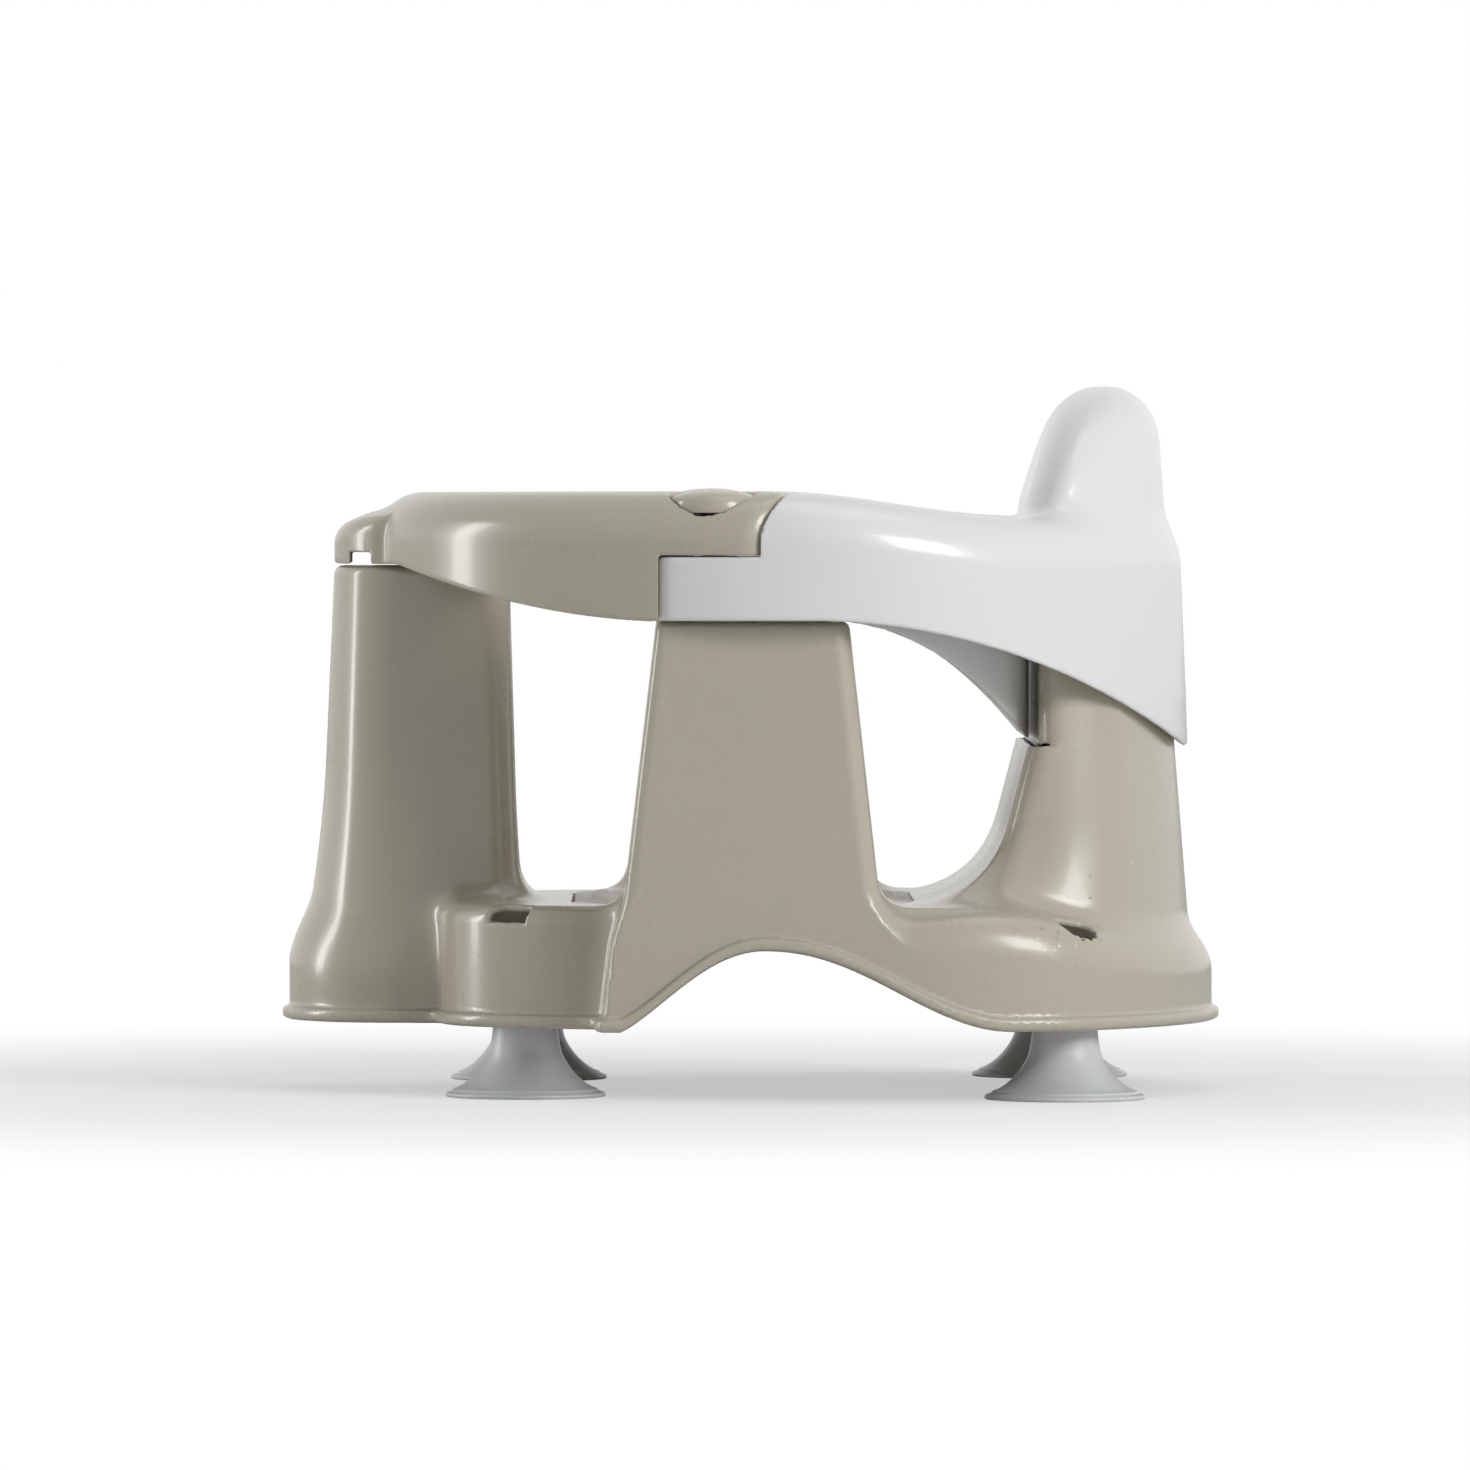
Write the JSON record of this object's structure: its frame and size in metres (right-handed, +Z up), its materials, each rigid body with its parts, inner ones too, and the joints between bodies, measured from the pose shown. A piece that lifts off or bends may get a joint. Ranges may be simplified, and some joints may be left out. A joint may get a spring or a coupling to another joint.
{
  "type": "baby bath seat",
  "caption": "Moulded baby bath seat on suction cups, with a front post, a round ring with a headrest and a front bar that unlocks and swings open.",
  "frame": {"origin": "on the bath floor under the middle of the seat's length and width", "axes": "+X towards the baby's left, +Y towards the backrest, +Z up"},
  "size_m": [0.31, 0.36, 0.2696],
  "materials": {
    "taupe_plastic": "glossy moulded polypropylene, taupe",
    "white_plastic": "glossy moulded polypropylene, white",
    "cup_rubber": "soft translucent pale grey elastomer",
    "mat_rubber": "soft matt non-slip elastomer",
    "steel": "stainless steel",
    "acetal": "natural acetal, low friction"
  },
  "bodies": {
    "root": {"base_shell": "taupe_plastic", "seat_mat": "mat_rubber", "back_ring": "white_plastic", "suction_cup_front_left": "cup_rubber", "suction_cup_front_right": "cup_rubber", "suction_cup_rear_left": "cup_rubber", "suction_cup_rear_right": "cup_rubber", "side_post_screws": "steel", "column_screws": "steel", "hinge_bush": "acetal"},
    "bar": {"front_bar": "taupe_plastic", "hinge_cap": "taupe_plastic", "hinge_pin": "steel", "hinge_push_nut": "steel", "hinge_washer": "acetal", "button_spring": "steel"},
    "button": {"release_button": "taupe_plastic", "latch_plunger": "acetal"}
  },
  "joints": [
    {"name": "bar_swing", "type": "hinge", "parent": "root", "child": "bar", "pos_m": [-0.13144, -0.0146, 0.205], "axis": [0, 0, -1], "range_deg": [0, 65]},
    {"name": "button_press", "type": "slide", "parent": "bar", "child": "button", "axis": [0, 0, -1], "range_m": [0, 0.005], "stiffness_N_per_m": 500, "springref_m": -0.004, "deforming": ["button_spring"]}
  ]
}
